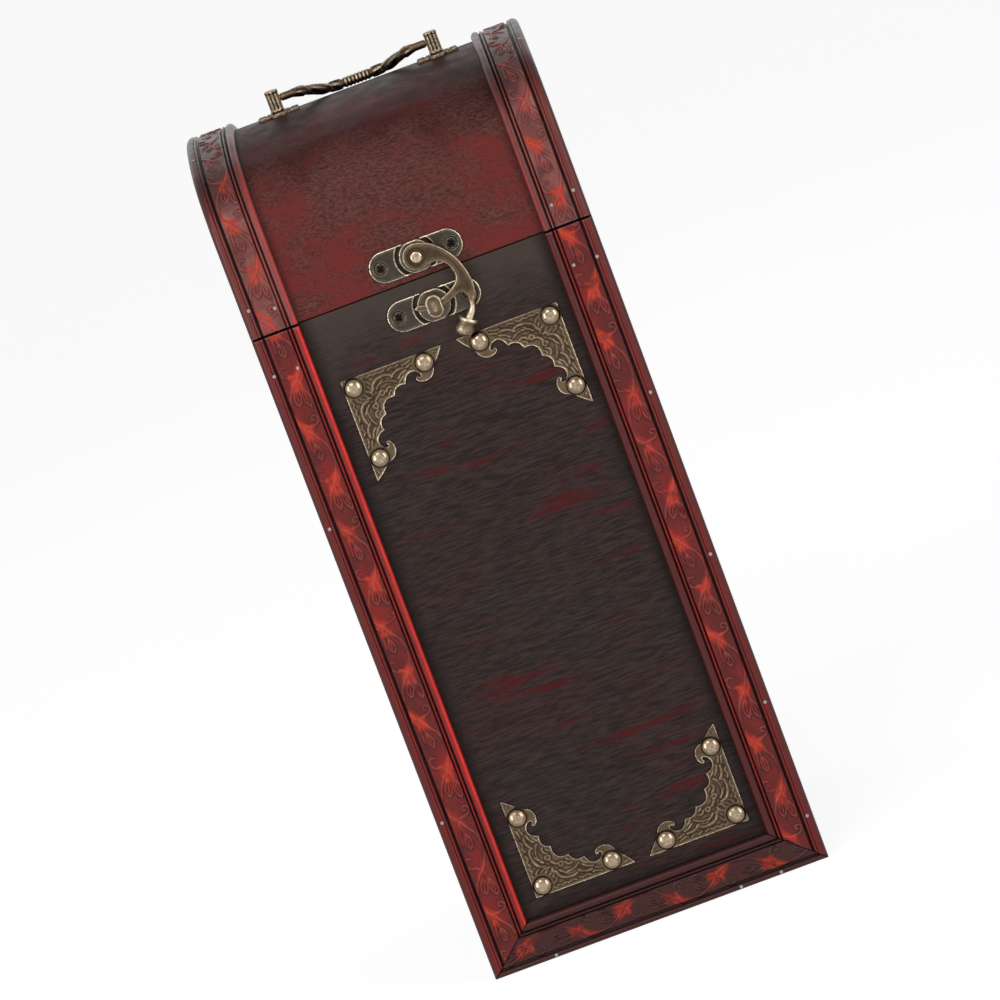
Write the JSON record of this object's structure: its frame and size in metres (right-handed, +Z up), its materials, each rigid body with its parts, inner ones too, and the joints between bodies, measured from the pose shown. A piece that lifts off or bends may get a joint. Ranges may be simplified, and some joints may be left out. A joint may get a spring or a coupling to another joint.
{
  "type": "wooden wine box",
  "caption": "Tall upright wooden box with an arched hinged lid, red moulded trims, brass corner brackets, a swing hook latch and a folding bail handle.",
  "frame": {"origin": "centre of the base, on the surface that the box stands on", "axes": "+Z up through the lid, -Y out of the front with the latch, +X to the right seen from the front"},
  "size_m": [0.134, 0.139, 0.3384],
  "materials": {
    "dark_stained_wood": "near-black brown stain with red showing through, satin",
    "red_stained_wood": "maroon stain, darker towards the crown, satin",
    "red_moulding": "dark red gloss lacquer over embossed moulding",
    "antique_brass": "antiqued, bright on worn edges",
    "bright_brass": "polished pale brass",
    "brad_steel": "bright",
    "bolt_steel": "zinc plated"
  },
  "bodies": {
    "box_body": {"front_panel": "dark_stained_wood", "back_panel": "dark_stained_wood", "left_side": "dark_stained_wood", "right_side": "dark_stained_wood", "bottom_panel": "dark_stained_wood", "front_trim_left": "red_moulding", "front_trim_right": "red_moulding", "front_trim_bottom": "red_moulding", "body_brads": "brad_steel", "bracket_top_left": "antique_brass", "bracket_top_right": "antique_brass", "bracket_bottom_left": "antique_brass", "bracket_bottom_right": "antique_brass", "bracket_studs": "bright_brass", "latch_plate_lower": "antique_brass", "latch_catch": "antique_brass", "latch_screws_lower": "antique_brass", "hinge_left_body_leaf": "antique_brass", "hinge_right_body_leaf": "antique_brass", "hinge_left_pin": "antique_brass", "hinge_right_pin": "antique_brass", "hinge_screws_body": "antique_brass"},
    "lid": {"lid_sheet": "red_stained_wood", "lid_left_end": "red_stained_wood", "lid_right_end": "red_stained_wood", "lid_trim_left": "red_moulding", "lid_trim_right": "red_moulding", "lid_brads": "brad_steel", "latch_plate_upper": "antique_brass", "hook_rivet": "bright_brass", "latch_screws_upper": "antique_brass", "hinge_left_lid_leaf": "antique_brass", "hinge_right_lid_leaf": "antique_brass", "hinge_screws_lid": "antique_brass", "handle_foot_left": "antique_brass", "handle_foot_right": "antique_brass", "handle_post_left": "antique_brass", "handle_post_right": "antique_brass", "handle_bolts": "bolt_steel"},
    "hook": {"swing_hook": "antique_brass"},
    "bail": {"bail": "antique_brass"}
  },
  "joints": [
    {"name": "lid_hinge", "type": "hinge", "parent": "box_body", "child": "lid", "pos_m": [0, 0.06585, 0.2602], "axis": [-1, 0, 0], "range_deg": [0, 180]},
    {"name": "hook_swing", "type": "hinge", "parent": "lid", "child": "hook", "pos_m": [0.001, -0.0672, 0.2686], "axis": [0, -1, 0], "range_deg": [0, 180]},
    {"name": "bail_fold", "type": "hinge", "parent": "lid", "child": "bail", "pos_m": [0.002, 0, 0.33461], "axis": [1, 0, 0], "range_deg": [0, 210]}
  ]
}
